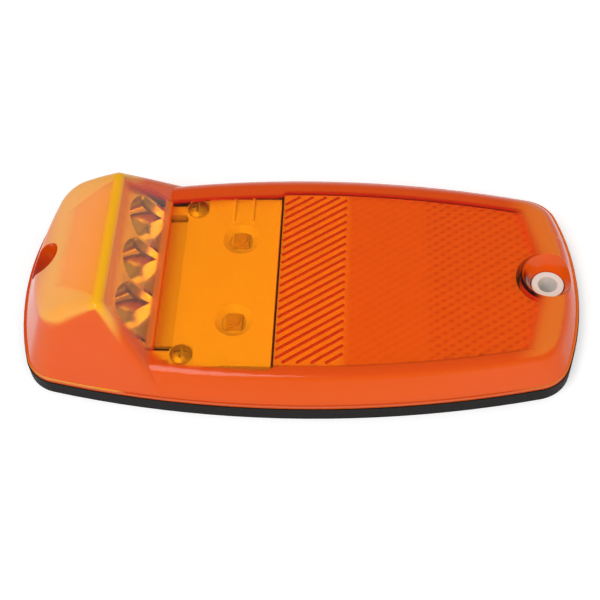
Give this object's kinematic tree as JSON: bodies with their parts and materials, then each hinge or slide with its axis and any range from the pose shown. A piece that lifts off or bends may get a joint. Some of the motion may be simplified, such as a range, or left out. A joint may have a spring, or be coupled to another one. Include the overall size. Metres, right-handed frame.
{
  "type": "vehicle indicator lamp",
  "caption": "Amber side indicator lamp for a vehicle: barrel-plan lens with a raised nose and rear-facing window, reflex reflector under its flat, on a base with a rubber gasket.",
  "frame": {"origin": "middle of the gasket's underside, on the mounting surface", "axes": "+X along the lamp from the nose to the reflector end, +Z out of the mounting surface"},
  "size_m": [0.156, 0.08, 0.0277],
  "materials": {
    "gasket_rubber": "matt black moulded rubber",
    "black_abs": "black moulded ABS",
    "bond_bead": "cured black bonding bead",
    "amber_lens": "clear amber acrylic, polished",
    "amber_reflector": "amber acrylic with corner-cube prisms",
    "white_plastic": "white moulded polycarbonate",
    "metallised_plastic": "vacuum metallised plastic, bright",
    "circuit_board": "glass fibre board with white solder mask",
    "tinned_brass": "tinned",
    "led_package": "white package with yellow dome",
    "screw_steel": "zinc plated",
    "bush_steel": "zinc plated, bright",
    "grommet_rubber": "matt black rubber",
    "component_body": "black moulded epoxy"
  },
  "bodies": {
    "root": {"mounting_gasket": "gasket_rubber", "base_tray": "black_abs", "lens_seal": "bond_bead", "lens": "amber_lens", "reflex_reflector": "amber_reflector", "lamp_carrier": "white_plastic", "cup_reflector": "metallised_plastic", "deck_board": "circuit_board", "nose_board": "circuit_board", "link_pins": "tinned_brass", "side_led_near": "led_package", "side_led_far": "led_package", "rear_led_near": "led_package", "rear_led_middle": "led_package", "rear_led_far": "led_package", "carrier_screws": "screw_steel", "mounting_bush_left": "bush_steel", "mounting_bush_right": "bush_steel", "cable_grommet": "grommet_rubber", "series_resistors": "component_body", "supply_diode": "component_body", "led_driver": "component_body"}
  },
  "joints": []
}
